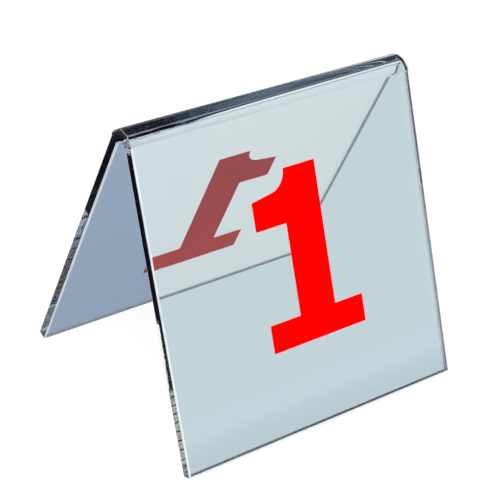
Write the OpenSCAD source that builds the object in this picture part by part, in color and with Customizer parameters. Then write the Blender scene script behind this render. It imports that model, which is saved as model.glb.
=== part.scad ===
// Free-standing table number: a clear A-frame with a stick-on digit on each side.
//
// One strip of clear sheet is heated along its middle line and folded into two
// legs that meet in a rounded ridge. A digit cut from self-adhesive film is
// stuck to the outer face of each leg, so the number reads from both sides.
//
// Millimetres. The ridge runs along X, the front leg leans out towards -Y, and
// the part stands on z = 0 with the origin under the middle of the ridge.

/* [Sheet] */
// Width of the sheet, along the ridge
panel_w = 85; // [50:1:150]
// Straight length of each leg, from the end of the bend to the cut bottom edge
leg_len = 82; // [64:1:150]
// Thickness of the sheet
sheet_t = 3; // [2:0.5:6]
// Inside radius of the bend along the ridge
bend_r = 1.6; // [1:0.1:8]
// Angle between the two legs
fold_angle = 45; // [30:1:80]
// Width of the flat that takes the sharpness off every cut edge
arris = 0.3; // [0.1:0.05:0.6]

/* [Digit outline] */
// Height of the digit
digit_h = 45; // [32:0.5:56]
// Width of the digit's foot
foot_w = 29.4; // [24:0.1:42]
// Height of the digit's foot
foot_h = 7.3; // [4:0.1:10]
// Width of the digit's stem
stem_w = 11.1; // [7:0.1:13]
// Distance from the left end of the foot to the stem
stem_x = 9.5; // [8:0.1:11]
// Height of the flag at its tip
flag_h = 7.4; // [3:0.1:9]
// Distance from the left end of the foot to the tip of the flag
flag_x = 0.2; // [0:0.1:2]
// Radius of the hollow between the flag and the top of the stem
hollow_r = 5.3; // [3:0.1:6]
// How far the hollow cuts into the top of the stem
hollow_cut = 1.4; // [0:0.1:3]
// Slope of the flag's upper edge
flag_slope = 9; // [0:1:15]

/* [Digit layers] */
// Thickness of the coloured film
film_t = 0.1; // [0.05:0.01:0.3]
// Thickness of the adhesive under the film
glue_t = 0.03; // [0.02:0.01:0.1]

/* [Digit places] */
// Front digit: height of its foot above the bottom edge of the leg
front_up = 22.3; // [8:0.1:26]
// Front digit: distance of its middle to the reader's right of the leg's middle
front_right = 2.4; // [-4:0.1:4]
// Rear digit: height of its foot above the bottom edge of the leg
rear_up = 15.8; // [8:0.1:26]
// Rear digit: distance of its middle to the reader's right of the leg's middle
rear_right = 0; // [-4:0.1:4]

/* [Hidden] */
$fn = 96;

// Lean of each leg from the vertical
lean = fold_angle / 2;
// Outside radius of the bend
ridge_r = bend_r + sheet_t;
// Height of the bend's axis, with the legs standing on their inner bottom edges
axis_z = leg_len * cos(lean) - (bend_r + arris) * sin(lean);
// Bottom edge of a leg's outer face: its distance from the middle and its height
toe_y = ridge_r * cos(lean) + leg_len * sin(lean);
toe_z = (sheet_t - arris) * sin(lean);

// Rectangle from [x0, y0] to [x1, y1] whose corners at y0 are broken by the arris,
// and whose corners at y1 are too when both_ends is true.
module broken_rectangle(x0, y0, x1, y1, both_ends = true) {
    top = both_ends ? arris : 0;
    polygon([
        [x0 + arris, y0], [x1 - arris, y0], [x1, y0 + arris],
        [x1, y1 - top], [x1 - top, y1], [x0 + top, y1], [x0, y1 - top],
        [x0, y0 + arris]
    ]);
}

// Cross-section of the sheet: distance from the bend's axis, and place along the ridge.
module sheet_section() {
    broken_rectangle(bend_r, -panel_w / 2, ridge_r, panel_w / 2);
}

// Turns the bend's own frame, with its axis along Z, into the part's frame.
module at_ridge() {
    translate([0, 0, axis_z]) rotate([90, 0, 90]) children();
}

// One straight leg, running down from the bend in the bend's own frame. Its
// section, its side and its face are each seen along one of its three axes.
module leg() {
    intersection() {
        rotate([90, 0, 0])
            linear_extrude(leg_len) sheet_section();
        translate([0, 0, -panel_w / 2])
            linear_extrude(panel_w)
                broken_rectangle(bend_r, -leg_len, ridge_r, 0, both_ends = false);
        translate([ridge_r, 0, 0]) rotate([0, -90, 0])
            linear_extrude(sheet_t)
                broken_rectangle(-panel_w / 2, -leg_len, panel_w / 2, 0, both_ends = false);
    }
}

// One leg with its half of the bend. The bend is swept past the middle of the
// ridge and cut off there, so the two halves meet on one flat face.
module half_tent() {
    room = leg_len + ridge_r;
    intersection() {
        rotate([0, 0, lean]) {
            rotate_extrude(angle = 90) sheet_section();
            leg();
        }
        translate([0, -room, -room]) cube([room, 2 * room, 2 * room]);
    }
}

// Outline of the digit 1, with its foot centred on X and standing on Y = 0.
module digit_one() {
    steps = 24;
    hollow_mid = [stem_x + hollow_cut - hollow_r, digit_h];
    hollow = [for (i = [0 : steps])
        let (turn = (flag_slope - 90) * i / steps)
        hollow_mid + hollow_r * [cos(turn), sin(turn)]];
    tip_y = hollow[steps].y - (hollow[steps].x - flag_x) * tan(flag_slope);
    flag_y = tip_y - flag_h;
    translate([-foot_w / 2, 0]) polygon(concat(
        [[0, 0], [foot_w, 0], [foot_w, foot_h], [stem_x + stem_w, foot_h],
         [stem_x + stem_w, digit_h]],
        hollow,
        [[flag_x, tip_y], [flag_x, flag_y], [stem_x, flag_y], [stem_x, foot_h], [0, foot_h]]
    ));
}

// Puts a flat shape on the front leg's outer face: X to the reader's right and
// Y up the leg from its bottom edge, and Z out of the face.
module on_front_face() {
    translate([0, -toe_y, toe_z]) rotate([90 - lean, 0, 0]) children();
}

// The same place on the rear leg, for a reader behind the part.
module on_rear_face() {
    rotate([0, 0, 180]) on_front_face() children();
}

// A layer of the digit that starts at a distance from the face.
module digit_layer(right, up, start, thickness) {
    translate([right, up, start]) linear_extrude(thickness) digit_one();
}

module acrylic_tent() {
    color([0.80, 0.86, 0.89, 0.4]) at_ridge() {
        half_tent();
        mirror([1, 0, 0]) half_tent();
    }
}

module front_adhesive() {
    color([0.9, 0.9, 0.88, 0.5]) on_front_face()
        digit_layer(front_right, front_up, 0, glue_t);
}

module front_number() {
    color("red") on_front_face()
        digit_layer(front_right, front_up, glue_t, film_t);
}

module rear_adhesive() {
    color([0.9, 0.9, 0.88, 0.5]) on_rear_face()
        digit_layer(rear_right, rear_up, 0, glue_t);
}

module rear_number() {
    color("red") on_rear_face()
        digit_layer(rear_right, rear_up, glue_t, film_t);
}

acrylic_tent();
front_adhesive();
front_number();
rear_adhesive();
rear_number();
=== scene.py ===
"""Looks of a free-standing table number: a clear folded sheet with a stick-on digit on each side."""

import logging
import math
from collections.abc import Iterable
from dataclasses import dataclass, field
from enum import Enum

import bmesh
import bpy
from mathutils import Matrix, Vector


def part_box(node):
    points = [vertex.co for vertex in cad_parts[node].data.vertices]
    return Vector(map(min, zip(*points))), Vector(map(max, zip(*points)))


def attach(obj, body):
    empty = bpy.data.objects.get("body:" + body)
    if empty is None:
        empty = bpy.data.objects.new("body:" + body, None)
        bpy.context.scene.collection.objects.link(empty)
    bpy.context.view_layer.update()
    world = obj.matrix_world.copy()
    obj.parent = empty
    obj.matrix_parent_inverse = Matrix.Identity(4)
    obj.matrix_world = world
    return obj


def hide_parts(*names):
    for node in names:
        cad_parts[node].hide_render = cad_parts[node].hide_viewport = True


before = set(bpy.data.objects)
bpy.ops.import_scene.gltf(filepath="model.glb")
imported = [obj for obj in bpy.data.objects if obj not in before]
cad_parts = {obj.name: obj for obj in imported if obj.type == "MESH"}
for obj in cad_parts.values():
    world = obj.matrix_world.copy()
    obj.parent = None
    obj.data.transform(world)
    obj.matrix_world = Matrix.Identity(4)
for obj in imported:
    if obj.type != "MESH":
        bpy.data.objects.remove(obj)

log = logging.getLogger("table_number")

MM = 0.001
# Vertices nearer to each other than this are merged
WELD = 0.001 * MM
# How closely a face's normal agrees with a direction that it looks along, as a cosine
FACING = 0.9999
BODY = "root"
TENT_NODE = "acrylic_tent"

Colour = tuple[float, float, float]


class Leg(Enum):
    """The two legs of the tent, each with its turn about the upright axis from the front."""

    FRONT = 0.0
    REAR = math.pi

    @property
    def label(self) -> str:
        """The leg's name in the names of pieces."""
        return self.name.lower()


class Surface(Enum):
    """The sheet's surfaces, by their material number: polished, scraped edges, and the sawn feet."""

    POLISHED = 0
    SCRAPED = 1
    SAWN = 2


# ---------------------------------------------------------------- small helpers


def faces_facing(faces: Iterable[bmesh.types.BMFace], way: Vector) -> list[bmesh.types.BMFace]:
    """Picks the faces whose normal points one way.

    Args:
        faces: The faces to look through.
        way: The unit direction that the wanted faces look along.

    Returns:
        The faces within a degree or so of that direction.
    """
    return [f for f in faces if f.normal.dot(way) > FACING]


def made_by(result: dict, kind: type) -> list:
    """Returns what a bmesh operator made, of one kind: its vertices, edges or faces."""
    return [item for item in result["geom"] if isinstance(item, kind)]


def show(
    bm: bmesh.types.BMesh, name: str, finishes: Iterable[bpy.types.Material], node: str
) -> bpy.types.Object:
    """Turns a finished bmesh into a piece that rides on the part and stands for its CAD node.

    Args:
        bm: The mesh, in place in the part's frame. It is freed.
        name: The piece's name.
        finishes: Its materials, in the order of its faces' material numbers.
        node: The CAD node that it stands for.

    Returns:
        The new object.
    """
    mesh = bpy.data.meshes.new(name)
    bm.to_mesh(mesh)
    bm.free()
    for finish in finishes:
        mesh.materials.append(finish)
    piece = bpy.data.objects.new(name, mesh)
    bpy.context.scene.collection.objects.link(piece)
    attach(piece, BODY)
    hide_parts(node)
    log.info("%s: %d faces, stands for %s", name, len(mesh.polygons), node)
    return piece


class NodeSheet:
    """A node tree that is filled a node at a time."""

    def __init__(self, tree: bpy.types.NodeTree) -> None:
        """Takes the tree and clears it."""
        self.tree = tree
        tree.nodes.clear()

    def add(self, kind: str, settings: dict | None = None, **inputs: object) -> bpy.types.Node:
        """Adds one node.

        Args:
            kind: The node's Blender type.
            settings: Properties to set on the node, by name.
            **inputs: A value or an output socket for each input, by the input's name with _ for a space.

        Returns:
            The new node.
        """
        node = self.tree.nodes.new(kind)
        for key, value in (settings or {}).items():
            setattr(node, key, value)
        for key, value in inputs.items():
            self.feed(node.inputs[key.replace("_", " ")], value)
        return node

    def feed(self, socket: bpy.types.NodeSocket, value: object) -> None:
        """Links an output to a socket, or sets the socket's own value.

        Args:
            socket: The input socket.
            value: An output socket or a plain value.
        """
        if isinstance(value, bpy.types.NodeSocket):
            self.tree.links.new(value, socket)
        else:
            socket.default_value = value

    def maths(self, operation: str, *values: object) -> bpy.types.NodeSocket:
        """Adds a Math node and returns its output.

        Args:
            operation: What it works out, as Blender names it.
            *values: Its inputs in order, numbers or sockets.

        Returns:
            The output socket.
        """
        node = self.tree.nodes.new("ShaderNodeMath")
        node.operation = operation
        for socket, value in zip(node.inputs, values):
            self.feed(socket, value)
        return node.outputs[0]

    def blend(self, share: object, first: object, second: object) -> bpy.types.NodeSocket:
        """Mixes two colours.

        Args:
            share: How much of the second colour shows, a number or a socket.
            first: The colour at share 0.
            second: The colour at share 1.

        Returns:
            The mixed colour's socket.
        """
        node = self.tree.nodes.new("ShaderNodeMix")
        node.data_type = "RGBA"
        sockets = [s for s in node.inputs if s.enabled]
        for socket, value in zip(sockets, (share, first, second)):
            self.feed(socket, (*value, 1.0) if isinstance(value, tuple) and len(value) == 3 else value)
        return next(s for s in node.outputs if s.enabled)

    def between(self, value: object, low: float, high: float) -> bpy.types.NodeSocket:
        """Is 1 where a value lies between two limits, and 0 elsewhere."""
        above = self.maths("GREATER_THAN", value, low)
        return self.maths("MULTIPLY", above, self.maths("LESS_THAN", value, high))

    def some(self, count: object) -> bpy.types.NodeSocket:
        """Is 1 where a count is one or more, and 0 elsewhere."""
        return self.maths("GREATER_THAN", count, 0.5)

    def sent_on(self, path: bpy.types.Node, bounces: float) -> bpy.types.NodeSocket:
        """Is 1 for light that has bounced more often than this, and off no matt surface."""
        plain = self.maths("SUBTRACT", 1.0, self.some(path.outputs["Diffuse Depth"]))
        return self.maths("MULTIPLY", self.maths("GREATER_THAN", path.outputs["Ray Depth"], bounces), plain)

    def ramp(self, value: object, steps: tuple[tuple[float, Colour], ...]) -> bpy.types.NodeSocket:
        """Colours a value in hard steps.

        Args:
            value: The socket to colour, from 0 to 1.
            steps: Where each colour starts, and the colour.

        Returns:
            The colour's socket.
        """
        node = self.add("ShaderNodeValToRGB", Fac=value)
        node.color_ramp.interpolation = "CONSTANT"
        stops = node.color_ramp.elements
        while len(stops) < len(steps):
            stops.new(1.0)
        for stop, (start, colour) in zip(stops, steps):
            stop.position = start
            stop.color = (*colour, 1.0)
        return node.outputs["Color"]

    def spread(
        self, value: object, low: float, high: float, to_low: float = 0.0, to_high: float = 1.0
    ) -> bpy.types.NodeSocket:
        """Stretches one range of values over another and returns the output.

        Args:
            value: The socket to stretch.
            low: The value that becomes to_low.
            high: The value that becomes to_high.
            to_low: Lowest output.
            to_high: Highest output.

        Returns:
            The output socket.
        """
        node = self.add("ShaderNodeMapRange")
        for socket, number in zip(node.inputs, (value, low, high, to_low, to_high)):
            self.feed(socket, number)
        return node.outputs[0]


# ---------------------------------------------------------------- finishes


def marks_group() -> bpy.types.NodeTree:
    """Builds the effect of handling on a glossy surface: a breath of smudges and a few fine scratches.

    Returns:
        A node group with inputs Vector, Smudge Size and Scratch Size, and outputs Smudge and Scratch.
    """
    group = bpy.data.node_groups.new("handling_marks", "ShaderNodeTree")
    sheet = NodeSheet(group)
    face = group.interface
    face.new_socket("Vector", in_out="INPUT", socket_type="NodeSocketVector")
    face.new_socket("Smudge Size", in_out="INPUT", socket_type="NodeSocketFloat")
    face.new_socket("Scratch Size", in_out="INPUT", socket_type="NodeSocketFloat")
    face.new_socket("Smudge", in_out="OUTPUT", socket_type="NodeSocketFloat")
    face.new_socket("Scratch", in_out="OUTPUT", socket_type="NodeSocketFloat")
    given = sheet.add("NodeGroupInput")
    smudge = sheet.add(
        "ShaderNodeTexNoise", Vector=given.outputs["Vector"], Scale=given.outputs["Smudge Size"],
        Detail=5.0, Roughness=0.62, Distortion=0.8,
    )
    stretched = sheet.add(
        "ShaderNodeMapping", Vector=given.outputs["Vector"], Rotation=(0.5, 0.9, 0.6), Scale=(1.0, 14.0, 5.0)
    )
    scratch = sheet.add(
        "ShaderNodeTexNoise", Vector=stretched.outputs["Vector"], Scale=given.outputs["Scratch Size"],
        Detail=3.0, Roughness=0.7, Distortion=0.3,
    )
    out = sheet.add("NodeGroupOutput")
    smudge_range, scratch_range = (0.45, 0.72), (0.62, 0.70)
    sheet.feed(out.inputs["Smudge"], sheet.spread(smudge.outputs["Fac"], *smudge_range))
    sheet.feed(out.inputs["Scratch"], sheet.spread(scratch.outputs["Fac"], *scratch_range))
    return group


def mottle_group() -> bpy.types.NodeTree:
    """Builds the uneven tone of a thin layer: soft cloudy patches with a fine grain on top.

    Returns:
        A node group with inputs Vector, Patch Size and Grain Size, and outputs Patch and Grain.
    """
    group = bpy.data.node_groups.new("layer_mottle", "ShaderNodeTree")
    sheet = NodeSheet(group)
    face = group.interface
    face.new_socket("Vector", in_out="INPUT", socket_type="NodeSocketVector")
    face.new_socket("Patch Size", in_out="INPUT", socket_type="NodeSocketFloat")
    face.new_socket("Grain Size", in_out="INPUT", socket_type="NodeSocketFloat")
    face.new_socket("Patch", in_out="OUTPUT", socket_type="NodeSocketFloat")
    face.new_socket("Grain", in_out="OUTPUT", socket_type="NodeSocketFloat")
    given = sheet.add("NodeGroupInput")
    patch = sheet.add(
        "ShaderNodeTexNoise", Vector=given.outputs["Vector"], Scale=given.outputs["Patch Size"],
        Detail=3.0, Roughness=0.5,
    )
    grain = sheet.add(
        "ShaderNodeTexNoise", Vector=given.outputs["Vector"], Scale=given.outputs["Grain Size"],
        Detail=4.0, Roughness=0.65,
    )
    out = sheet.add("NodeGroupOutput")
    noise_range = (0.3, 0.7)
    sheet.feed(out.inputs["Patch"], sheet.spread(patch.outputs["Fac"], *noise_range))
    sheet.feed(out.inputs["Grain"], sheet.spread(grain.outputs["Fac"], *noise_range))
    return group


@dataclass(frozen=True)
class ClearAcrylic:
    """Polished clear acrylic with a breath of blue-grey and faint marks of handling."""

    tint: Colour = (0.90, 0.94, 0.955)
    marked_tint: Colour = (0.885, 0.93, 0.95)
    refractive_index: float = 1.491
    polish: float = 0.0
    smudged: float = 0.035
    scratch_depth: float = 0.004 * MM
    smudge_scale: float = 38.0
    scratch_scale: float = 55.0

    def material(self, marks: bpy.types.NodeTree) -> bpy.types.Material:
        """Makes the material.

        Args:
            marks: The handling marks group.

        Returns:
            The material.
        """
        material = bpy.data.materials.new("clear_acrylic")
        material.use_nodes = True
        sheet = NodeSheet(material.node_tree)
        place = sheet.add("ShaderNodeTexCoord").outputs["Object"]
        worn = sheet.add("ShaderNodeGroup", {"node_tree": marks}, Vector=place)
        worn.inputs["Smudge Size"].default_value = self.smudge_scale
        worn.inputs["Scratch Size"].default_value = self.scratch_scale
        smudge, scratch = worn.outputs["Smudge"], worn.outputs["Scratch"]
        bump = sheet.add("ShaderNodeBump", Strength=0.25, Distance=self.scratch_depth, Height=scratch)
        shader = sheet.add(
            "ShaderNodeBsdfPrincipled", Base_Color=sheet.blend(smudge, self.tint, self.marked_tint),
            Roughness=sheet.spread(smudge, 0.0, 1.0, self.polish, self.smudged),
            IOR=self.refractive_index, Transmission_Weight=1.0, Normal=bump.outputs["Normal"],
        )
        out = sheet.add("ShaderNodeOutputMaterial")
        sheet.feed(out.inputs["Surface"], shader.outputs["BSDF"])
        return material


@dataclass(frozen=True)
class ScrapedEdge:
    """The narrow broken edges of the sheet, scraped and left matt, so that they show as pale lines, painted
    near-black for light that has bounced about inside the sheet.
    """

    pale: Colour = (0.88, 0.92, 0.95)
    dull: Colour = (0.70, 0.76, 0.82)
    refractive_index: float = 1.491
    painted_for_deep_light: Colour = (0.004, 0.005, 0.012)
    deep_bounces: float = 3.5
    transmission: float = 0.3
    fine: float = 0.35
    coarse: float = 0.6
    chatter: float = 0.02 * MM
    dull_scale: float = 120.0
    chatter_scale: float = 700.0

    def material(self, marks: bpy.types.NodeTree) -> bpy.types.Material:
        """Makes the material.

        Args:
            marks: The handling marks group, whose scratches are the scraper's chatter here.

        Returns:
            The material.
        """
        material = bpy.data.materials.new("scraped_edge")
        material.use_nodes = True
        sheet = NodeSheet(material.node_tree)
        place = sheet.add("ShaderNodeTexCoord").outputs["Object"]
        worn = sheet.add("ShaderNodeGroup", {"node_tree": marks}, Vector=place)
        worn.inputs["Smudge Size"].default_value = self.dull_scale
        worn.inputs["Scratch Size"].default_value = self.chatter_scale
        smudge, scratch = worn.outputs["Smudge"], worn.outputs["Scratch"]
        bump = sheet.add("ShaderNodeBump", Strength=0.4, Distance=self.chatter, Height=scratch)
        # Painted shade: light that has bounced about inside the sheet finds the edge painted near-black
        painted_for_deep_light = sheet.sent_on(sheet.add("ShaderNodeLightPath"), self.deep_bounces)
        shader = sheet.add(
            "ShaderNodeBsdfPrincipled",
            Base_Color=sheet.blend(painted_for_deep_light, sheet.blend(smudge, self.pale, self.dull), self.painted_for_deep_light),
            Roughness=sheet.spread(scratch, 0.0, 1.0, self.fine, self.coarse),
            IOR=self.refractive_index, Transmission_Weight=self.transmission, Normal=bump.outputs["Normal"],
        )
        out = sheet.add("ShaderNodeOutputMaterial")
        sheet.feed(out.inputs["Surface"], shader.outputs["BSDF"])
        return material


@dataclass(frozen=True)
class SawnFoot:
    """The sawn undersides of the legs, which stay satin and grey where the faces are polished, with painted
    light and shade for light that has bounced about in the sheet.
    """

    slate: Colour = (0.16, 0.22, 0.29)
    dark: Colour = (0.05, 0.075, 0.12)
    painted_navy_shade: Colour = (0.006, 0.010, 0.024)
    painted_steel_shade: Colour = (0.26, 0.35, 0.50)
    painted_cream_light: Colour = (1.0, 0.99, 0.93)
    deep_bounces: float = 3.5
    painted_navy_until: float = 8 * MM
    painted_steel_from: float = 28 * MM
    refractive_index: float = 1.491
    transmission: float = 0.25
    fine: float = 0.25
    coarse: float = 0.5
    saw_marks: float = 0.03 * MM
    dark_scale: float = 22.0
    saw_scale: float = 500.0

    def material(self, marks: bpy.types.NodeTree) -> bpy.types.Material:
        """Makes the material.

        Args:
            marks: The handling marks group, whose scratches are the saw's marks here.

        Returns:
            The material.
        """
        material = bpy.data.materials.new("sawn_foot")
        material.use_nodes = True
        sheet = NodeSheet(material.node_tree)
        place = sheet.add("ShaderNodeTexCoord").outputs["Object"]
        worn = sheet.add("ShaderNodeGroup", {"node_tree": marks}, Vector=place)
        worn.inputs["Smudge Size"].default_value = self.dark_scale
        worn.inputs["Scratch Size"].default_value = self.saw_scale
        smudge, scratch = worn.outputs["Smudge"], worn.outputs["Scratch"]
        bump = sheet.add("ShaderNodeBump", Strength=0.4, Distance=self.saw_marks, Height=scratch)
        # Painted light and shade: light that has bounced about in the sheet finds the rear foot painted navy
        # at one end and grey-blue at the other, and the front foot painted cream
        painted_for_deep_light = sheet.sent_on(sheet.add("ShaderNodeLightPath"), self.deep_bounces)
        axes = sheet.add("ShaderNodeSeparateXYZ", Vector=place)
        painted_steel_share = sheet.spread(axes.outputs["X"], self.painted_navy_until, self.painted_steel_from)
        front = sheet.maths("LESS_THAN", axes.outputs["Y"], 0.0)
        painted_deep_tone = sheet.blend(front, sheet.blend(painted_steel_share, self.painted_navy_shade, self.painted_steel_shade), self.painted_cream_light)
        face = sheet.blend(painted_for_deep_light, sheet.blend(smudge, self.slate, self.dark), painted_deep_tone)
        shader = sheet.add(
            "ShaderNodeBsdfPrincipled", Base_Color=face,
            Roughness=sheet.spread(scratch, 0.0, 1.0, self.fine, self.coarse),
            IOR=self.refractive_index, Transmission_Weight=self.transmission, Normal=bump.outputs["Normal"],
        )
        out = sheet.add("ShaderNodeOutputMaterial")
        sheet.feed(out.inputs["Surface"], shader.outputs["BSDF"])
        return material


@dataclass(frozen=True)
class RedFilm:
    """Saturated red cut film with a soft sheen and the light orange peel of a pressed-on layer, painted dark
    for light that has turned in the sheet.
    """

    red: Colour = (0.98, 0.0, 0.0)
    deep_red: Colour = (0.93, 0.0, 0.0)
    painted_turned_shade: Colour = (0.012, 0.015, 0.05)
    one_panel: tuple[float, float] = (1.5, 2.5)
    sheen_level: float = 0.004
    smooth: float = 0.38
    worn: float = 0.5
    peel_depth: float = 0.01 * MM
    patch_scale: float = 60.0
    grain_scale: float = 900.0

    def material(self, mottle: bpy.types.NodeTree) -> bpy.types.Material:
        """Makes the material.

        Args:
            mottle: The layer mottle group.

        Returns:
            The material.
        """
        material = bpy.data.materials.new("red_film")
        material.use_nodes = True
        sheet = NodeSheet(material.node_tree)
        place = sheet.add("ShaderNodeTexCoord").outputs["Object"]
        layer = sheet.add("ShaderNodeGroup", {"node_tree": mottle}, Vector=place)
        layer.inputs["Patch Size"].default_value = self.patch_scale
        layer.inputs["Grain Size"].default_value = self.grain_scale
        bump = sheet.add(
            "ShaderNodeBump", Strength=0.3, Distance=self.peel_depth, Height=layer.outputs["Grain"]
        )
        # Painted shade: light that has turned in the sheet, or has left it over the ridge, finds the film
        # painted dark navy
        path = sheet.add("ShaderNodeLightPath")
        over = sheet.between(path.outputs["Transmission Depth"], *self.one_panel)
        turned = sheet.maths("MAXIMUM", sheet.some(path.outputs["Glossy Depth"]), over)
        face = sheet.blend(layer.outputs["Patch"], self.red, self.deep_red)
        shader = sheet.add(
            "ShaderNodeBsdfPrincipled", Base_Color=sheet.blend(turned, face, self.painted_turned_shade),
            Roughness=sheet.spread(layer.outputs["Patch"], 0.0, 1.0, self.smooth, self.worn),
            Specular_IOR_Level=self.sheen_level, Normal=bump.outputs["Normal"],
        )
        out = sheet.add("ShaderNodeOutputMaterial")
        sheet.feed(out.inputs["Surface"], shader.outputs["BSDF"])
        return material


@dataclass(frozen=True)
class FilmAdhesive:
    """The film's adhesive side as it shows through the sheet: a dusty rose, dull and a little uneven, with
    painted shade for light that has turned in the sheet or comes along it at a grazing angle.
    """

    rose: Colour = (0.76, 0.01, 0.015)
    pale_rose: Colour = (0.80, 0.02, 0.025)
    painted_turned_shade: Colour = (0.012, 0.018, 0.06)
    slant_from: float = 0.3
    slant_to: float = 0.4
    sheen_level: float = 0.1
    smooth: float = 0.6
    rough: float = 0.75
    patch_scale: float = 90.0
    grain_scale: float = 1400.0

    def material(self, mottle: bpy.types.NodeTree) -> bpy.types.Material:
        """Makes the material.

        Args:
            mottle: The layer mottle group.

        Returns:
            The material.
        """
        material = bpy.data.materials.new("clear_adhesive")
        material.use_nodes = True
        sheet = NodeSheet(material.node_tree)
        place = sheet.add("ShaderNodeTexCoord").outputs["Object"]
        layer = sheet.add("ShaderNodeGroup", {"node_tree": mottle}, Vector=place)
        layer.inputs["Patch Size"].default_value = self.patch_scale
        layer.inputs["Grain Size"].default_value = self.grain_scale
        # Painted shade: light that has turned in the sheet, or comes along it at a grazing angle, finds the
        # adhesive painted dark navy
        turned = sheet.some(sheet.add("ShaderNodeLightPath").outputs["Glossy Depth"])
        painted_slant_shade = sheet.add("ShaderNodeLayerWeight", Blend=0.5).outputs["Facing"]
        painted_slant_shade = sheet.spread(painted_slant_shade, self.slant_from, self.slant_to)
        face = sheet.blend(layer.outputs["Patch"], self.rose, self.pale_rose)
        shader = sheet.add(
            "ShaderNodeBsdfPrincipled",
            Base_Color=sheet.blend(sheet.maths("MAXIMUM", turned, painted_slant_shade), face, self.painted_turned_shade),
            Roughness=sheet.spread(layer.outputs["Grain"], 0.0, 1.0, self.smooth, self.rough),
            Specular_IOR_Level=self.sheen_level,
        )
        out = sheet.add("ShaderNodeOutputMaterial")
        sheet.feed(out.inputs["Surface"], shader.outputs["BSDF"])
        return material


# ---------------------------------------------------------------- the folded sheet


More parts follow.
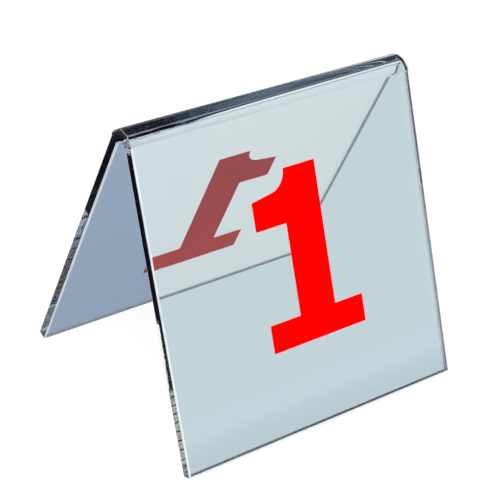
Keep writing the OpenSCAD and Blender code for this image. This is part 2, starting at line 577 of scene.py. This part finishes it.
@dataclass(frozen=True)
class FoldedSheet:
    """One strip of clear sheet, bent over its middle line into two legs and a rounded ridge."""

    thickness: float = 3.0 * MM
    bend_radius: float = 1.6 * MM
    lean: float = math.radians(22.5)
    foot_radius: float = 0.38 * MM
    foot_steps: int = 3
    end_radius: float = 0.24 * MM
    end_steps: int = 2
    bend_steps: int = 48
    cut_turn: float = math.radians(60.0)
    outward: float = 0.1
    end_pull: float = 0.22 * MM
    low: Vector = field(default_factory=lambda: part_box(TENT_NODE)[0])
    high: Vector = field(default_factory=lambda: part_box(TENT_NODE)[1])

    @property
    def width(self) -> float:
        """Width along the ridge."""
        return self.high.x - self.low.x

    @property
    def ridge_radius(self) -> float:
        """Outside radius of the bend."""
        return self.bend_radius + self.thickness

    @property
    def axis_height(self) -> float:
        """Height of the bend's axis."""
        return self.high.z - self.ridge_radius

    @property
    def leg_length(self) -> float:
        """Straight length of a leg, which stands on the rounded inner edge of its foot.

        Returns:
            The length from the end of the bend to the foot.
        """
        rounded_off = self.foot_radius * (math.cos(self.lean) + math.sin(self.lean) - 1)
        drop = self.axis_height + self.bend_radius * math.sin(self.lean) + rounded_off
        return drop / math.cos(self.lean)

    def down(self, leg: Leg) -> Vector:
        """Direction down a leg."""
        return Matrix.Rotation(leg.value, 3, "Z") @ Vector((0.0, -math.sin(self.lean), -math.cos(self.lean)))

    def out(self, leg: Leg) -> Vector:
        """Direction out of a leg's outer face."""
        return Matrix.Rotation(leg.value, 3, "Z") @ Vector((0.0, -math.cos(self.lean), math.sin(self.lean)))

    def on_outer_face(self, leg: Leg) -> Matrix:
        """Frame on a leg's outer face.

        Args:
            leg: Which leg.

        Returns:
            The matrix that puts X to the reader's right, Y up the leg from its bottom edge, and Z outwards.
        """
        axis = Vector((0.0, 0.0, self.axis_height))
        toe = axis + self.out(leg) * self.ridge_radius + self.down(leg) * self.leg_length
        up, out = -self.down(leg), self.out(leg)
        turn = Matrix((up.cross(out), up, out)).transposed()
        return Matrix.Translation(toe) @ turn.to_4x4()

    def mesh(self) -> bmesh.types.BMesh:
        """Builds the solid: the section is spun round the ridge, and its two ends are drawn down the legs.

        Returns:
            The closed mesh, in place.
        """
        bm = bmesh.new()
        axis = Vector((0.0, 0.0, self.axis_height))
        bmesh.ops.create_grid(bm, x_segments=1, y_segments=1, size=0.5)
        bmesh.ops.scale(bm, vec=(self.width, self.thickness, 1.0), verts=bm.verts)
        out, down = self.out(Leg.FRONT), self.down(Leg.FRONT)
        section = Matrix((Vector((1, 0, 0)), out, down)).transposed().to_4x4()
        middle = axis + out * (self.bend_radius + self.thickness / 2)
        bmesh.ops.transform(bm, matrix=Matrix.Translation(middle) @ section, verts=bm.verts)
        sweep = -(math.pi - 2 * self.lean)
        bmesh.ops.spin(
            bm, geom=bm.verts[:] + bm.edges[:] + bm.faces[:], cent=axis, axis=(1, 0, 0), dvec=(0, 0, 0),
            angle=sweep, steps=self.bend_steps, use_merge=False, use_duplicate=False,
        )
        bmesh.ops.recalc_face_normals(bm, faces=bm.faces)
        self.pull_in_ends(bm, axis)
        for leg in Leg:
            bm.normal_update()
            ends = faces_facing(bm.faces, self.down(leg))
            drawn = made_by(bmesh.ops.extrude_face_region(bm, geom=ends), bmesh.types.BMVert)
            bmesh.ops.delete(bm, geom=[f for f in ends if f.is_valid], context="FACES_ONLY")
            bmesh.ops.translate(bm, vec=self.down(leg) * self.leg_length, verts=drawn)
        bmesh.ops.remove_doubles(bm, verts=bm.verts, dist=WELD)
        bmesh.ops.recalc_face_normals(bm, faces=bm.faces)
        self.round_edges(bm)
        return bm

    def pull_in_ends(self, bm: bmesh.types.BMesh, axis: Vector) -> None:
        """Draws the outer side of the bend in a little at both ends, as a hot sheet does where it stretches.

        Args:
            bm: The bend's mesh.
            axis: A point on the bend's axis.
        """
        reach = math.pi / 2 - self.lean
        for vert in bm.verts:
            arm = vert.co - axis
            if math.hypot(arm.y, arm.z) > self.ridge_radius - self.thickness / 2:
                turn = abs(math.atan2(arm.y, arm.z)) / reach
                vert.co.x -= math.copysign(self.end_pull * math.cos(turn * math.pi / 2) ** 2, vert.co.x)

    def round_edges(self, bm: bmesh.types.BMesh) -> None:
        """Breaks the feet's long edges, then the edges of both ends, and leaves the flat faces flat.

        Args:
            bm: The whole tent, with sharp edges.
        """
        long = [e for e in self.cut_edges(bm) if e.calc_length() > self.width / 2]
        for face in self.bevel(bm, long, self.foot_radius, self.foot_steps):
            face.material_index = (Surface.SCRAPED if self.looks_out(face) else Surface.SAWN).value
        for leg in Leg:
            for face in faces_facing(bm.faces, self.down(leg)):
                face.material_index = Surface.SAWN.value
        ends = self.bevel(bm, self.cut_edges(bm), self.end_radius, self.end_steps)
        for face in ends:
            face.material_index = Surface.SCRAPED.value
        for vert in bm.verts:
            vert.co.x = min(max(vert.co.x, self.low.x), self.high.x)
        bm.normal_update()
        for face in bm.faces:
            face.smooth = face.calc_area() < self.thickness * self.leg_length / 2
        log.info("tent: %d long edges broken, and the ends' edges into %d faces", len(long), len(ends))

    def looks_out(self, face: bmesh.types.BMFace) -> bool:
        """Tells whether a face looks more along a leg's outer face than along its inner one."""
        return max(face.normal.dot(self.out(leg)) for leg in Leg) > self.outward

    def cut_edges(self, bm: bmesh.types.BMesh) -> list[bmesh.types.BMEdge]:
        """Returns the edges that the saw left sharp."""
        return [e for e in bm.edges if e.calc_face_angle() > self.cut_turn]

    def bevel(
        self, bm: bmesh.types.BMesh, edges: list[bmesh.types.BMEdge], radius: float, steps: int
    ) -> list[bmesh.types.BMFace]:
        """Rounds some edges.

        Args:
            bm: The mesh that they belong to.
            edges: The edges.
            radius: How far the rounding reaches on each side.
            steps: How many faces it has across.

        Returns:
            The new faces.
        """
        result = bmesh.ops.bevel(
            bm, geom=edges, offset=radius, offset_type="OFFSET", segments=steps,
            profile=0.5, affect="EDGES", material=-1, clamp_overlap=True,
        )
        bm.normal_update()
        return result["faces"]


# ---------------------------------------------------------------- the digits


@dataclass(frozen=True)
class DigitOne:
    """Outline of the digit 1 and its two layers, with the foot's middle at the origin of its own plane."""

    height: float = 45.0 * MM
    foot_width: float = 29.4 * MM
    foot_height: float = 7.3 * MM
    stem_width: float = 11.1 * MM
    stem_start: float = 9.5 * MM
    flag_height: float = 7.4 * MM
    flag_start: float = 0.2 * MM
    hollow_radius: float = 5.3 * MM
    hollow_cut: float = 1.4 * MM
    flag_slope: float = math.radians(9.0)
    hollow_steps: int = 24
    corner_radius: float = 0.12 * MM
    corner_steps: int = 3
    corner_turn: float = math.radians(20.0)
    film: float = 0.10 * MM
    adhesive: float = 0.03 * MM
    wet_in: float = 0.01 * MM
    rim: float = 0.025 * MM
    rim_steps: int = 2

    def outline(self) -> bmesh.types.BMesh:
        """Builds the flat outline as one face.

        Returns:
            A mesh with that face, looking up Z.
        """
        bm = bmesh.new()
        left = -self.foot_width / 2
        stem = left + self.stem_start
        stem_end = stem + self.stem_width
        right = left + self.foot_width
        middle = Vector((stem + self.hollow_cut - self.hollow_radius, self.height, 0.0))
        first = bm.verts.new(middle + Vector((self.hollow_radius, 0.0, 0.0)))
        turned = bmesh.ops.spin(
            bm, geom=[first], cent=middle, axis=(0, 0, 1), dvec=(0, 0, 0),
            angle=-(math.pi / 2 - self.flag_slope), steps=self.hollow_steps,
            use_merge=False, use_duplicate=False,
        )
        last = next(item for item in turned["geom_last"] if isinstance(item, bmesh.types.BMVert))
        tip_x = left + self.flag_start
        tip_y = last.co.y - (last.co.x - tip_x) * math.tan(self.flag_slope)
        flag_foot = tip_y - self.flag_height
        corners = [
            (tip_x, tip_y), (tip_x, flag_foot), (stem, flag_foot), (stem, self.foot_height),
            (left, self.foot_height), (left, 0.0), (right, 0.0), (right, self.foot_height),
            (stem_end, self.foot_height), (stem_end, self.height),
        ]
        chain = [last, *(bm.verts.new((x, y, 0.0)) for x, y in corners), first]
        for start, end in zip(chain, chain[1:]):
            bm.edges.new((start, end))
        bmesh.ops.contextual_create(bm, geom=bm.edges[:])
        sharp = [v for v in bm.verts if v.calc_edge_angle(0.0) > self.corner_turn]
        bmesh.ops.bevel(
            bm, geom=sharp, offset=self.corner_radius, offset_type="OFFSET", segments=self.corner_steps,
            profile=0.5, affect="VERTICES", material=-1,
        )
        bm.normal_update()
        if bm.faces[:][0].normal.z < 0:
            bmesh.ops.reverse_faces(bm, faces=bm.faces)
        return bm

    def layer(self, start: float, thickness: float, rim: float = 0.0) -> bmesh.types.BMesh:
        """Builds one layer of the digit as a solid.

        Args:
            start: Distance of its underside from the face it lies on.
            thickness: Its thickness.
            rim: How much the outer rim is rounded, or 0.

        Returns:
            The closed mesh in the digit's own plane.
        """
        bm = self.outline()
        base = bm.faces[:]
        raised = bmesh.ops.extrude_face_region(bm, geom=base, use_keep_orig=True)
        drawn = made_by(raised, bmesh.types.BMVert)
        bmesh.ops.translate(bm, vec=(0.0, 0.0, thickness), verts=drawn)
        bmesh.ops.recalc_face_normals(bm, faces=bm.faces)
        if rim:
            tops = set(drawn)
            edges = [e for e in bm.edges if set(e.verts) <= tops]
            bmesh.ops.bevel(
                bm, geom=edges, offset=rim, offset_type="OFFSET", segments=self.rim_steps,
                profile=0.5, affect="EDGES", material=-1,
            )
        bmesh.ops.translate(bm, vec=(0.0, 0.0, start), verts=bm.verts)
        return bm


@dataclass(frozen=True)
class StuckDigit:
    """A digit stuck to one leg: where it sits, and its film and adhesive."""

    leg: Leg
    right: float
    up: float
    shape: DigitOne = DigitOne()

    def build(self, sheet: FoldedSheet, film: bpy.types.Material, adhesive: bpy.types.Material) -> None:
        """Makes the adhesive and the film and lays them on the leg.

        Args:
            sheet: The sheet that the digit is stuck to.
            film: The film's material.
            adhesive: The adhesive's material.
        """
        shape = self.shape
        place = sheet.on_outer_face(self.leg) @ Matrix.Translation((self.right, self.up, 0.0))
        under = shape.layer(-shape.wet_in, shape.adhesive + shape.wet_in)
        over = shape.layer(shape.adhesive, shape.film, shape.rim)
        for bm in (under, over):
            bmesh.ops.transform(bm, matrix=place, verts=bm.verts)
        label = self.leg.label
        back = show(under, f"{label}_digit_adhesive", [adhesive], f"{label}_adhesive")
        front = show(over, f"{label}_digit_film", [film], f"{label}_number")
        back.visible_glossy = front.visible_glossy = False


# ---------------------------------------------------------------- the studio


@dataclass(frozen=True)
class Camera:
    """The camera's place and lens."""

    azimuth: float = math.radians(-39.44)
    elevation: float = math.radians(32.56)
    roll: float = math.radians(5.29)
    distance: float = 0.4276
    target: Vector = field(default_factory=lambda: Vector((-0.00112, 0.0, 0.03367)))
    lens: float = 119.1
    sensor: float = 36.0
    clip: tuple[float, float] = (0.01, 50.0)

    def build(self) -> bpy.types.Object:
        """Makes the camera and gives it to the scene.

        Returns:
            The camera object.
        """
        level = math.cos(self.elevation)
        back = Vector((
            math.sin(self.azimuth) * level, -math.cos(self.azimuth) * level, math.sin(self.elevation)
        ))
        right = Vector((0, 0, 1)).cross(back).normalized()
        up = back.cross(right)
        rolled_right = right * math.cos(self.roll) + up * math.sin(self.roll)
        rolled_up = up * math.cos(self.roll) - right * math.sin(self.roll)
        turn = Matrix((rolled_right, rolled_up, back)).transposed().to_4x4()
        data = bpy.data.cameras.new("camera")
        data.lens, data.sensor_width = self.lens, self.sensor
        data.clip_start, data.clip_end = self.clip
        camera = bpy.data.objects.new("camera", data)
        camera.matrix_world = Matrix.Translation(self.target + back * self.distance) @ turn
        bpy.context.scene.collection.objects.link(camera)
        bpy.context.scene.camera = camera
        return camera


@dataclass(frozen=True)
class Softbox:
    """One soft studio light: a lit square that looks at the object, and that only matt surfaces see."""

    place: Vector = field(default_factory=lambda: Vector((-0.35, -0.6, 0.75)))
    aim: Vector = field(default_factory=lambda: Vector((0.0, 0.0, 0.04)))
    size: float = 0.6
    radiance: float = 2.0

    def build(self) -> bpy.types.Object:
        """Makes the light.

        Returns:
            The light object.
        """
        data = bpy.data.lights.new("softbox", "AREA")
        data.size = self.size
        data.energy = self.radiance * math.pi * self.size ** 2
        light = bpy.data.objects.new("softbox", data)
        turn = (self.aim - self.place).to_track_quat("-Z", "Y")
        light.matrix_world = Matrix.Translation(self.place) @ turn.to_matrix().to_4x4()
        light.visible_camera = light.visible_transmission = light.visible_glossy = False
        bpy.context.scene.collection.objects.link(light)
        return light


@dataclass(frozen=True)
class Studio:
    """Pale floor and surroundings, plain white to the camera, one soft light, a low glowing card and the
    camera.

    The sheet shows what stands round it, so the floor and the surroundings have one tone for each way that
    light can take: plain white straight to the camera, and painted reflections, light and shade through one
    panel or both, turned a few times in the bend, or sent down the sheet from end to end.
    """

    floor_size: float = 6.0
    floor_white: float = 0.3
    floor_glow: float = 0.76
    fill: float = 1.15
    # Painted reflections: in plain reflections the floor and surroundings are dark, with a pale veil from far
    # off and from low in front
    in_gloss: Colour = (0.02, 0.024, 0.035)
    veil: float = 1.5
    veil_distance: tuple[float, float] = (0.15, 0.7)
    veil_front: tuple[float, float] = (-0.75, -0.55)
    veil_height: tuple[float, float] = (0.18, 0.4)

    # Painted tones straight through one panel or both, and a painted shadow, darker and bluer, behind the
    # tent on its left
    through_one: Colour = (0.585, 0.69, 0.72)
    through_two: Colour = (0.93, 0.98, 0.965)
    two_panels: float = 3.5
    painted_shadow_behind_left: Colour = (0.375, 0.465, 0.605)
    behind_slope: tuple[float, float] = (0.857, 0.515)
    behind_edge: tuple[float, float] = (-17 * MM, -15 * MM)
    behind_from: float = 34 * MM
    sky_through: Colour = (0.5, 0.58, 0.64)

    # Painted reflections and shade for light turned in the bend, or once at the right-hand ends
    bend_navy: Colour = (0.015, 0.022, 0.06)
    bend_steel: Colour = (0.23, 0.31, 0.42)
    bend_range: tuple[float, float] = (56 * MM, 74 * MM)
    bend_turns: float = 1.5
    bend_sky: Colour = (0.92, 0.98, 1.02)
    bend_sky_height: tuple[float, float] = (0.25, 0.4)
    edge_grey: Colour = (0.17, 0.24, 0.31)
    edge_navy: Colour = (0.04, 0.08, 0.17)
    edge_range: tuple[float, float] = (55 * MM, 70 * MM)
    far_edge_grey: Colour = (0.30, 0.40, 0.42)
    far_edge_slope: float = 1.217
    far_edge_from: float = 30 * MM

    # Painted light and shade for light sent down the sheet from end to end; the brightest tones glow
    piped_dark: Colour = (0.002, 0.002, 0.008)
    piped_white: Colour = (1.3, 1.35, 1.35)
    piped_wall: Colour = (2.4, 2.4, 2.35)
    piped_cream: Colour = (1.5, 1.45, 1.2)
    piped_teal: Colour = (0.16, 0.33, 0.38)
    piped_navy: Colour = (0.015, 0.025, 0.09)
    wall_height: float = 0.3
    wall_steps: tuple[float, ...] = (0.0, 0.4525, 0.4565, 0.4655)
    ceiling_height: float = 0.7
    ceiling_steps: tuple[float, ...] = (0.0, 0.4285, 0.432, 0.4365, 0.4395, 0.447)
    bounces: int = 32
    piped_bounces: float = 8.5
    near_card: tuple[float, float] = (42 * MM, 58 * MM)
    far_card: float = 107 * MM
    low_card_height: float = 8 * MM
    low_card_gap: float = 3 * MM

    def build(self) -> None:
        """Makes the camera, the soft light, the floor, the low glowing card and the surroundings."""
        scene = bpy.context.scene
        scene.view_settings.view_transform = "Standard"
        scene.cycles.max_bounces = self.bounces
        scene.cycles.glossy_bounces = self.bounces
        scene.cycles.transmission_bounces = self.bounces
        Camera().build()
        Softbox().build()
        self.floor()
        self.piped_glow_card()
        self.surroundings()

    def turned(self, sheet: NodeSheet, path: bpy.types.Node) -> bpy.types.NodeSocket:
        """Is 1 for light that has turned inside the sheet."""
        return sheet.some(path.outputs["Glossy Depth"])

    def piped(self, sheet: NodeSheet, path: bpy.types.Node) -> bpy.types.NodeSocket:
        """Is 1 for light that the sheet has carried from end to end."""
        return sheet.maths("GREATER_THAN", path.outputs["Ray Depth"], self.piped_bounces)

    def panel_tone(
        self, sheet: NodeSheet, path: bpy.types.Node, axes: bpy.types.Node
    ) -> bpy.types.NodeSocket:
        """Works out the floor's painted tone straight through one panel or both, with a painted shadow behind
        the tent on its left.

        Args:
            sheet: The floor's node tree.
            path: Its Light Path node.
            axes: Its place on the floor, as X, Y and Z.

        Returns:
            The colour's socket.
        """
        # Distance to the right of the line on the floor below the front leg's left edge
        right, back = self.behind_slope
        across = sheet.maths(
            "SUBTRACT", sheet.maths("MULTIPLY", axes.outputs["X"], right),
            sheet.maths("MULTIPLY", axes.outputs["Y"], back),
        )
        # Painted shadow of the tent: the floor behind it on its left is darker and bluer through the panels
        behind = sheet.maths(
            "MULTIPLY", sheet.spread(across, *self.behind_edge, 1.0, 0.0),
            sheet.maths("GREATER_THAN", axes.outputs["Y"], self.behind_from),
        )
        tone = sheet.blend(behind, self.through_one, self.painted_shadow_behind_left)
        both = sheet.maths("GREATER_THAN", path.outputs["Transmission Depth"], self.two_panels)
        return sheet.blend(both, tone, self.through_two)

    def bend_tone(
        self, sheet: NodeSheet, path: bpy.types.Node, axes: bpy.types.Node
    ) -> bpy.types.NodeSocket:
        """Works out the painted reflections and shade that the floor shows to light turned in the bend, or
        once at the right-hand ends.

        Args:
            sheet: The floor's node tree.
            path: Its Light Path node.
            axes: Its place on the floor, as X, Y and Z.

        Returns:
            The colour's socket.
        """
        along = sheet.maths("ADD", axes.outputs["X"], axes.outputs["Y"])
        ridge = sheet.blend(sheet.spread(along, *self.bend_range), self.bend_navy, self.bend_steel)
        edge = sheet.spread(axes.outputs["Y"], *self.edge_range)
        edge = sheet.blend(edge, self.edge_grey, self.edge_navy)
        far = sheet.maths("MULTIPLY", axes.outputs["X"], self.far_edge_slope)
        far = sheet.maths("GREATER_THAN", sheet.maths("ADD", axes.outputs["Y"], far), self.far_edge_from)
        edge = sheet.blend(far, edge, self.far_edge_grey)
        often = sheet.maths("GREATER_THAN", path.outputs["Glossy Depth"], self.bend_turns)
        return sheet.blend(often, edge, ridge)

    def floor_tone(self, sheet: NodeSheet, path: bpy.types.Node) -> bpy.types.NodeSocket:
        """Works out how the floor looks to all light but the camera's: an even fill for matt surfaces, and
        painted reflections, light and shade for the rest.

        Args:
            sheet: The floor's node tree.
            path: Its Light Path node.

        Returns:
            The colour's socket.
        """
        place = sheet.add("ShaderNodeTexCoord").outputs["Object"]
        axes = sheet.add("ShaderNodeSeparateXYZ", Vector=place)
        # Painted light: floor beside the front leg's right end, and far off to the right, glows white for
        # piped light
        near = sheet.maths(
            "MULTIPLY", sheet.between(axes.outputs["X"], *self.near_card),
            sheet.maths("LESS_THAN", axes.outputs["Y"], 0.0),
        )
        card = sheet.maths("MAXIMUM", near, sheet.maths("GREATER_THAN", axes.outputs["X"], self.far_card))
        piped = sheet.blend(card, self.piped_dark, self.piped_white)
        tone = self.panel_tone(sheet, path, axes)
        tone = sheet.blend(self.turned(sheet, path), tone, self.bend_tone(sheet, path, axes))
        tone = sheet.blend(self.piped(sheet, path), tone, piped)
        # Painted reflection: a pale veil far off on the floor, for reflected light only
        distance = sheet.add("ShaderNodeVectorMath", {"operation": "LENGTH"}, Vector=place)
        horizon = sheet.spread(distance.outputs["Value"], *self.veil_distance)
        gloss = sheet.blend(horizon, self.in_gloss, (self.veil,) * 3)
        tone = sheet.blend(path.outputs["Is Reflection Ray"], tone, gloss)
        return sheet.blend(sheet.some(path.outputs["Diffuse Depth"]), tone, (self.fill,) * 3)

    def floor(self) -> None:
        """Makes the pale floor: plain white to the camera, and painted reflections, light and shade for light
        that has been in the sheet.
        """
        bm = bmesh.new()
        bmesh.ops.create_grid(bm, x_segments=1, y_segments=1, size=self.floor_size / 2)
        material = bpy.data.materials.new("pale_floor")
        material.use_nodes = True
        sheet = NodeSheet(material.node_tree)
        path = sheet.add("ShaderNodeLightPath")
        seen = sheet.add("ShaderNodeBsdfDiffuse", Color=(self.floor_white,) * 3 + (1.0,))
        lift = sheet.add("ShaderNodeEmission", Color=(1.0, 1.0, 1.0, 1.0), Strength=self.floor_glow)
        white = sheet.add("ShaderNodeAddShader")
        sheet.feed(white.inputs[0], seen.outputs[0])
        sheet.feed(white.inputs[1], lift.outputs[0])
        toned = sheet.add("ShaderNodeEmission", Color=self.floor_tone(sheet, path), Strength=1.0)
        self.finish_stage(sheet, path.outputs["Is Camera Ray"], toned, white)
        self.stage("floor", bm, material)

    def piped_glow_card(self) -> None:
        """Makes the low card beside the right ends of the legs: a painted light that glows white, which only
        piped light sees.
        """
        bm = bmesh.new()
        bmesh.ops.create_grid(bm, x_segments=1, y_segments=1, size=0.5)
        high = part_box(TENT_NODE)[1]
        bmesh.ops.scale(bm, vec=(self.low_card_height, high.y, 1.0), verts=bm.verts)
        bmesh.ops.rotate(bm, cent=(0, 0, 0), matrix=Matrix.Rotation(math.pi / 2, 3, "Y"), verts=bm.verts)
        middle = (high.x + self.low_card_gap, -high.y / 2, self.low_card_height / 2)
        bmesh.ops.translate(bm, vec=middle, verts=bm.verts)
        material = bpy.data.materials.new("piped_glow_card")
        material.use_nodes = True
        sheet = NodeSheet(material.node_tree)
        # Painted light: the card glows white for piped light and is clear to all other light
        path = sheet.add("ShaderNodeLightPath")
        clear = sheet.add("ShaderNodeBsdfTransparent")
        white = sheet.add("ShaderNodeEmission", Color=(*self.piped_white, 1.0), Strength=1.0)
        self.finish_stage(sheet, self.piped(sheet, path), clear, white)
        card = self.stage("piped_glow_card", bm, material)
        card.visible_camera = card.visible_shadow = card.visible_diffuse = card.visible_glossy = False

    def finish_stage(
        self, sheet: NodeSheet, share: object, first: bpy.types.Node, second: bpy.types.Node
    ) -> None:
        """Ends a stage material with a mix of two shaders.

        Args:
            sheet: The material's node tree.
            share: How much of the second shader shows.
            first: The shader at share 0.
            second: The shader at share 1.
        """
        mix = sheet.add("ShaderNodeMixShader", Fac=share)
        sheet.feed(mix.inputs[1], first.outputs[0])
        sheet.feed(mix.inputs[2], second.outputs[0])
        out = sheet.add("ShaderNodeOutputMaterial")
        sheet.feed(out.inputs["Surface"], mix.outputs[0])

    def stage(self, name: str, bm: bmesh.types.BMesh, material: bpy.types.Material) -> bpy.types.Object:
        """Puts a piece of the stage in the scene.

        Args:
            name: The piece's name.
            bm: Its mesh, in place. It is freed.
            material: Its material.

        Returns:
            The new object.
        """
        mesh = bpy.data.meshes.new(name)
        bm.to_mesh(mesh)
        bm.free()
        mesh.materials.append(material)
        piece = bpy.data.objects.new(name, mesh)
        bpy.context.scene.collection.objects.link(piece)
        return piece

    def surroundings(self) -> None:
        """Makes the world: white to the camera and to matt surfaces, and painted reflections, light and shade
        for all other light.
        """
        world = bpy.data.worlds.new("studio")
        bpy.context.scene.world = world
        world.use_nodes = True
        sheet = NodeSheet(world.node_tree)
        path = sheet.add("ShaderNodeLightPath")
        place = sheet.add("ShaderNodeTexCoord").outputs["Generated"]
        way = sheet.add("ShaderNodeSeparateXYZ", Vector=place)
        bend = sheet.spread(way.outputs["Z"], *self.bend_sky_height)
        bend = sheet.blend(bend, self.bend_navy, self.bend_sky)
        tone = sheet.blend(self.turned(sheet, path), self.sky_through, bend)
        tone = sheet.blend(self.piped(sheet, path), tone, self.piped_surroundings(sheet, way))
        # The faint veil over the front panel is a painted reflection: the surroundings turn pale low in
        # front, for reflected light only
        veil = sheet.maths(
            "MULTIPLY", sheet.spread(way.outputs["Y"], *self.veil_front, 1.0, 0.0),
            sheet.spread(way.outputs["Z"], *self.veil_height, 1.0, 0.0),
        )
        gloss = sheet.blend(veil, self.in_gloss, (self.veil,) * 3)
        tone = sheet.blend(path.outputs["Is Reflection Ray"], tone, gloss)
        lit = sheet.some(path.outputs["Diffuse Depth"])
        plain = sheet.maths("MAXIMUM", path.outputs["Is Camera Ray"], lit)
        tone = sheet.blend(plain, tone, (self.fill,) * 3)
        back = sheet.add("ShaderNodeBackground", Color=tone, Strength=1.0)
        out = sheet.add("ShaderNodeOutputWorld")
        sheet.feed(out.inputs["Surface"], back.outputs[0])

    def piped_surroundings(self, sheet: NodeSheet, way: bpy.types.Node) -> bpy.types.NodeSocket:
        """Works out the painted light and shade that the surroundings show to light that the sheet has
        carried from end to end.

        Args:
            sheet: The world's node tree.
            way: The light's direction, as X, Y and Z.

        Returns:
            The colour's socket.
        """
        dark, cream, teal = self.piped_dark, self.piped_cream, self.piped_teal
        wall = sheet.ramp(way.outputs["X"], tuple(zip(self.wall_steps, (dark, cream, dark, self.piped_wall))))
        overhead_tones = (self.piped_navy, teal, cream, teal, cream, dark)
        ceiling = sheet.ramp(way.outputs["X"], tuple(zip(self.ceiling_steps, overhead_tones)))
        above = sheet.maths("GREATER_THAN", way.outputs["Z"], self.wall_height)
        overhead = sheet.maths("GREATER_THAN", way.outputs["Z"], self.ceiling_height)
        return sheet.blend(overhead, sheet.blend(above, dark, wall), ceiling)


def main() -> None:
    """Builds the studio, the folded sheet and the two digits."""
    logging.basicConfig(level=logging.INFO, format="%(name)s: %(message)s")
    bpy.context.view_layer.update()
    Studio().build()
    marks, mottle = marks_group(), mottle_group()
    sheet_finishes = [finish.material(marks) for finish in (ClearAcrylic(), ScrapedEdge(), SawnFoot())]
    film, adhesive = RedFilm().material(mottle), FilmAdhesive().material(mottle)
    tent = FoldedSheet()
    show(tent.mesh(), "folded_sheet", sheet_finishes, TENT_NODE)
    for digit in (
        StuckDigit(Leg.FRONT, right=2.4 * MM, up=22.3 * MM),
        StuckDigit(Leg.REAR, right=0.0, up=15.8 * MM),
    ):
        digit.build(tent, film, adhesive)


if __name__ == "__main__":
    main()
